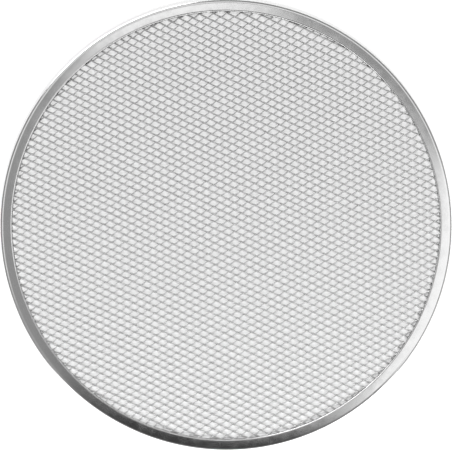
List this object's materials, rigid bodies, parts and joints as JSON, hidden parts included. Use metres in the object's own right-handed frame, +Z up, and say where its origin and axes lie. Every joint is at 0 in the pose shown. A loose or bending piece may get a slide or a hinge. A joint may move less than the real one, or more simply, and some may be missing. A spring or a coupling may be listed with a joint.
{
  "type": "pizza screen",
  "caption": "Flat round screen of raised expanded metal with a folded band round its edge, for baking a pizza with air under it.",
  "frame": {"origin": "middle of the underside, where the folded band meets the surface that the screen lies on", "axes": "+Z up, square to the disc; +X along the long way of the diamonds, +Y along their short way"},
  "size_m": [0.33, 0.33, 0.003],
  "materials": {
    "mesh_aluminium": "as slit and stretched, satin",
    "band_aluminium": "rolled, with fine lines along the band"
  },
  "bodies": {
    "root": {"mesh": "mesh_aluminium", "band": "band_aluminium"}
  },
  "joints": []
}
